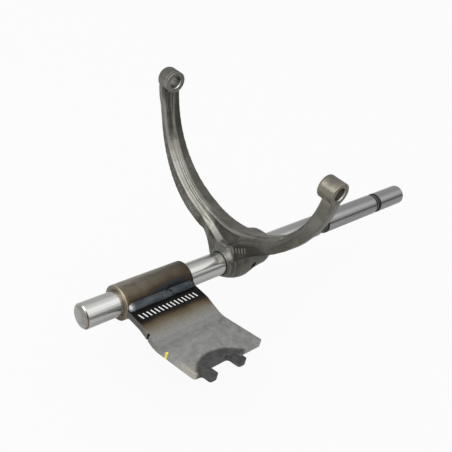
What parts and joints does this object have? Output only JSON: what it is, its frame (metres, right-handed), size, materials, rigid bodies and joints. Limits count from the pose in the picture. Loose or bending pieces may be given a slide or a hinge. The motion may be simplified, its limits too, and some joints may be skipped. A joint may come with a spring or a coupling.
{
  "type": "transmission shift fork",
  "caption": "Forged two-armed shift fork pinned to a round shift rail that also carries a sleeve with a welded, notched driver plate.",
  "frame": {"origin": "on the rail axis, at the middle of the free journal at the driver end", "axes": "+X along the rail towards the grooved end, +Y along the boss axis towards the longer arm, +Z square to both, from the rail towards the fork bosses"},
  "size_m": [0.4, 0.2161, 0.143],
  "materials": {
    "ground_steel": "ground bright, two black grooves",
    "forged_steel": "blasted forging, worn ribs",
    "spring_steel": "dark spring steel",
    "sleeve_steel": "turned steel with heat tint",
    "plate_steel": "rolled steel, hardened end",
    "weld_metal": "dark weld"
  },
  "bodies": {
    "root": {"selector_rail": "ground_steel", "shift_fork": "forged_steel", "fork_pin": "spring_steel", "driver_sleeve": "sleeve_steel", "driver_plate": "plate_steel", "weld_bead_upper": "weld_metal", "weld_bead_lower": "weld_metal"}
  },
  "joints": []
}
